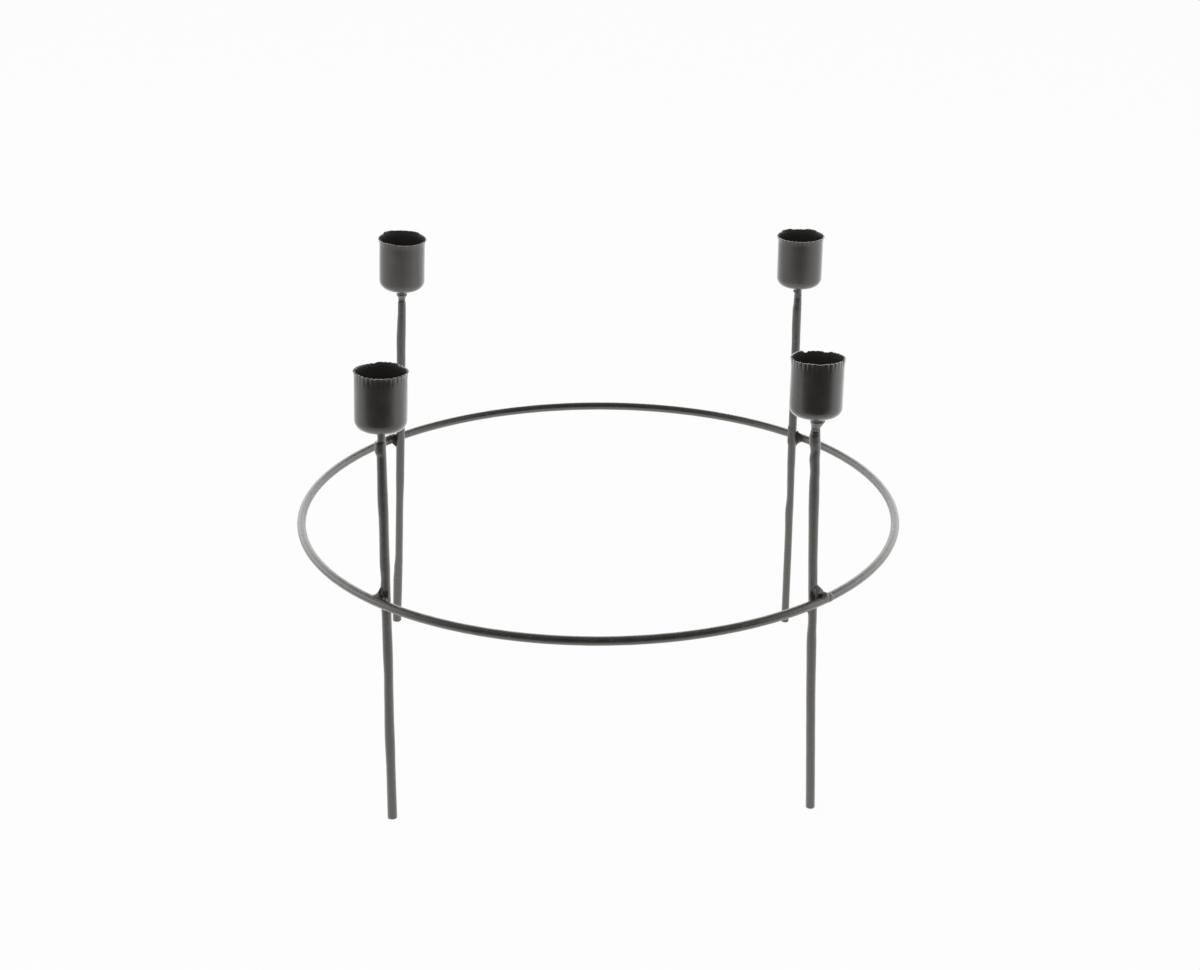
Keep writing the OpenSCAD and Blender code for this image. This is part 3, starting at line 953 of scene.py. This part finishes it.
def build_cup(stand, settings):
    """A thin sheet cup with a rounded base and a crimped, slightly flared band under its uneven rim."""
    shape = CUPS[stand.place]
    seed = list(CUPS).index(stand.place) + 1
    steps_per_crimp = 14
    profile = cup_profile(stand, settings)
    angle = np.linspace(0, 2 * math.pi, settings.crimps * steps_per_crimp, endpoint=False)
    groove, depth, dip = crimped(angle, settings.crimps, seed)
    rise = rim_rise(angle, shape, seed + 5)
    front = eased(-np.sin(angle))
    push = -shape["flute"] * MM * groove * depth
    drop = rise - shape["dip"] * MM * groove * dip * (1 - 0.6 * eased(np.sin(angle) * 2))
    flare = (shape["rim_width"] * MM / 2 - stand.bore - settings.wall) * (1 - 0.75 * front)
    oval = 1 + shape["oval"] / (stand.bore / MM) * np.cos(2 * angle)
    radius, height, band, flared, lip, inside = (column[:, None] for column in profile.T)
    r = (radius + flared * flare) * oval + band * push
    z = height + band * drop
    right, back = (np.array(v) for v in level_pair(stand.cup_up))
    side = right * np.cos(angle)[:, None] + back * np.sin(angle)[:, None]
    middle = np.array(stand.cup_base) + back * shape.get("back", 0) * MM
    rings = middle + side * r[..., None] + np.array(stand.cup_up) * z[..., None]
    dents = lumps(rings, 7 * MM, seed + 30) * 0.05 * MM + lumps(rings, 2.2 * MM, seed + 50) * 0.012 * MM
    rings = rings + side * (dents * eased(radius / (6 * MM)))[..., None]
    ridge = (1 - groove) ** 3
    # Painted highlight, with some wear, on the crests of the crimps along the lip
    wear_and_highlight = lip * ridge * eased((lumps(rings, 1.6 * MM, seed + 60) + 0.1) * 4) * 0.45
    specks = eased((lumps(rings, 0.5 * MM, seed + 70) - 0.72) * 10) * 0.5
    all_round = np.ones(len(angle))
    # Scorch and painted shade round the middle of the base, under it and inside, where the neck is welded on
    soot_and_shade = eased(1 - (radius - 2.4 * MM) / (1.6 * MM)) * (height < stand.bore / 8) * 0.5 * all_round
    marks = {"wear_and_highlight": np.maximum(wear_and_highlight, specks * band), "soot_and_shade": soot_and_shade, "dull": 0.8 * inside * all_round}
    return skin("sheet_cup_" + stand.place, rings, marks)


class HOLDER_OT_cups(bpy.types.Operator):
    """Build the four crimped sheet cups"""
    bl_idname = "candle_holder.cups"
    bl_label = "Cups"

    def execute(self, context):
        material = cup_paint()
        for stand in all_stands(context.scene):
            made = build_cup(stand, context.scene.holder_cup)
            dress(made, "cup_" + stand.place, material)
        return {"FINISHED"}


# Stage

def add_camera(scene):
    """The photograph's view: a long lens from the front, looking down on the hoop."""
    eye = Vector((1.3, -983.85, 530.78)) * MM
    pitch = math.radians(22.494)
    yaw = math.radians(-0.025)
    roll = math.radians(-0.092)
    ahead = Vector((math.sin(yaw) * math.cos(pitch), math.cos(yaw) * math.cos(pitch), -math.sin(pitch)))
    right = Vector((math.cos(yaw), -math.sin(yaw), 0))
    up = right.cross(ahead)
    turned_right = right * math.cos(roll) + up * math.sin(roll)
    turned_up = up * math.cos(roll) - right * math.sin(roll)
    lens = bpy.data.cameras.new("camera")
    lens.lens = 63.95
    lens.sensor_width = 36
    lens.clip_start = 0.05
    lens.clip_end = 50
    camera = bpy.data.objects.new("camera", lens)
    camera.matrix_world = Matrix((turned_right, turned_up, -ahead)).transposed().to_4x4()
    camera.location = eye
    scene.collection.objects.link(camera)
    scene.camera = camera


def add_floor(scene, settings):
    """A wide pale table top. Gloss on the object sees it fade out some way in front of the holder."""
    half = 6.0
    mesh = bpy.data.meshes.new("floor")
    corners = [(-half, -half, 0), (half, -half, 0), (half, half, 0), (-half, half, 0)]
    mesh.from_pydata(corners, [], [(0, 1, 2, 3)])
    floor = bpy.data.objects.new("floor", mesh)
    scene.collection.objects.link(floor)
    material = bpy.data.materials.new("floor")
    material.cycles.emission_sampling = "NONE"
    mesh.materials.append(material)
    graph = Graph(material)
    matte = graph.add("ShaderNodeBsdfDiffuse", inputs={"Color": tinted(settings.floor, 1)})
    white = graph.add("ShaderNodeEmission", inputs={"Strength": 1.0})
    bright = graph.add("ShaderNodeEmission", inputs={"Strength": 1.3})
    dark = graph.add("ShaderNodeEmission", inputs={"Strength": 0.05})
    place = graph.add("ShaderNodeNewGeometry", output="Position")
    depth = graph.add("ShaderNodeSeparateXYZ", inputs={0: place}, output="Y")
    sideways = graph.add("ShaderNodeSeparateXYZ", inputs={0: place}, output="X")
    near = depth.between(-0.64, -0.3)
    far = depth.between(-0.3, -0.05) * sideways.between(-0.45, -0.2)
    camera_ray = graph.add("ShaderNodeLightPath", output="Is Camera Ray")
    glossy_ray = graph.add("ShaderNodeLightPath", output="Is Glossy Ray")
    seen = graph.either(0.93, matte, white)
    mirrored = graph.either(near, dark, graph.either(sideways.between(0.1, 0.5), white, bright))
    mirrored = graph.either(far, mirrored, bright)
    surface = graph.either(camera_ray, graph.either(glossy_ray, matte, mirrored), seen)
    graph.add("ShaderNodeOutputMaterial", inputs={"Surface": surface})


def add_room(scene, settings):
    """An even pale room. Gloss sees it bright behind and beside, dim overhead and dark at the front."""
    world = bpy.data.worlds.new("room")
    world.cycles.sampling_method = "NONE"
    scene.world = world
    graph = Graph(world)
    direction = graph.add("ShaderNodeTexCoord", output="Generated")
    depth = graph.add("ShaderNodeSeparateXYZ", inputs={0: direction}, output="Y")
    height = graph.add("ShaderNodeSeparateXYZ", inputs={0: direction}, output="Z")
    white = graph.add("ShaderNodeBackground", inputs={"Color": (1, 1, 1, 1), "Strength": 1.0})
    bright = graph.add("ShaderNodeBackground", inputs={"Strength": 2.6})
    even = graph.add("ShaderNodeBackground", inputs={"Strength": settings.room})
    dim = graph.add("ShaderNodeBackground", inputs={"Strength": 0.32})
    dark = graph.add("ShaderNodeBackground", inputs={"Strength": 0.05})
    camera_ray = graph.add("ShaderNodeLightPath", output="Is Camera Ray")
    glossy_ray = graph.add("ShaderNodeLightPath", output="Is Glossy Ray")
    walls = graph.either(height.between(0.4, 0.8), bright, dim)
    mirrored = graph.either(depth.between(-0.55, 0.05), dark, walls)
    surface = graph.either(camera_ray, graph.either(glossy_ray, even, mirrored), white)
    graph.add("ShaderNodeOutputWorld", inputs={"Surface": surface})


def add_softbox(scene, settings):
    """One wide lamp overhead, unseen by gloss."""
    lamp = bpy.data.lights.new("softbox", "AREA")
    lamp.shape = "SQUARE"
    lamp.size = 2.0
    lamp.energy = settings.softbox
    softbox = bpy.data.objects.new("softbox", lamp)
    softbox.location = (-0.4, -0.3, 2.2)
    softbox.rotation_euler = (Vector((0, 0, 0.1)) - softbox.location).to_track_quat("-Z", "Y").to_euler()
    softbox.visible_glossy = False
    scene.collection.objects.link(softbox)


class HOLDER_OT_stage(bpy.types.Operator):
    """Set up the floor, the light and the camera"""
    bl_idname = "candle_holder.stage"
    bl_label = "Stage"

    def execute(self, context):
        scene = context.scene
        settings = scene.holder_stage
        add_camera(scene)
        add_floor(scene, settings)
        add_room(scene, settings)
        add_softbox(scene, settings)
        scene.view_settings.view_transform = "Standard"
        return {"FINISHED"}


# Add-on

OPERATORS = (
    HOLDER_OT_hoop, HOLDER_OT_stems, HOLDER_OT_stem_welds,
    HOLDER_OT_cups, HOLDER_OT_cup_welds, HOLDER_OT_stage)
SETTINGS = {
    "holder_wire": WireSettings,
    "holder_cup": CupSettings,
    "holder_weld": WeldSettings,
    "holder_paint": PaintSettings,
    "holder_stage": StageSettings,
}


class HOLDER_PT_panel(bpy.types.Panel):
    """The candle holder's pieces and settings"""
    bl_idname = "HOLDER_PT_panel"
    bl_label = "Candle Holder"
    bl_space_type = "VIEW_3D"
    bl_region_type = "UI"
    bl_category = "Candle Holder"

    def draw(self, context):
        for operator in OPERATORS:
            self.layout.operator(operator.bl_idname)
        for name, group in SETTINGS.items():
            box = self.layout.box()
            for setting in group.__annotations__:
                box.prop(getattr(context.scene, name), setting)


def register():
    for group in (*SETTINGS.values(), *OPERATORS, HOLDER_PT_panel):
        bpy.utils.register_class(group)
    for name, group in SETTINGS.items():
        setattr(bpy.types.Scene, name, PointerProperty(type=group))


def unregister():
    for name in SETTINGS:
        delattr(bpy.types.Scene, name)
    for group in reversed((*SETTINGS.values(), *OPERATORS, HOLDER_PT_panel)):
        bpy.utils.unregister_class(group)


def main():
    register()
    bpy.ops.candle_holder.hoop()
    bpy.ops.candle_holder.stems()
    bpy.ops.candle_holder.stem_welds()
    bpy.ops.candle_holder.cups()
    bpy.ops.candle_holder.cup_welds()
    bpy.ops.candle_holder.stage()


if __name__ == "__main__":
    main()
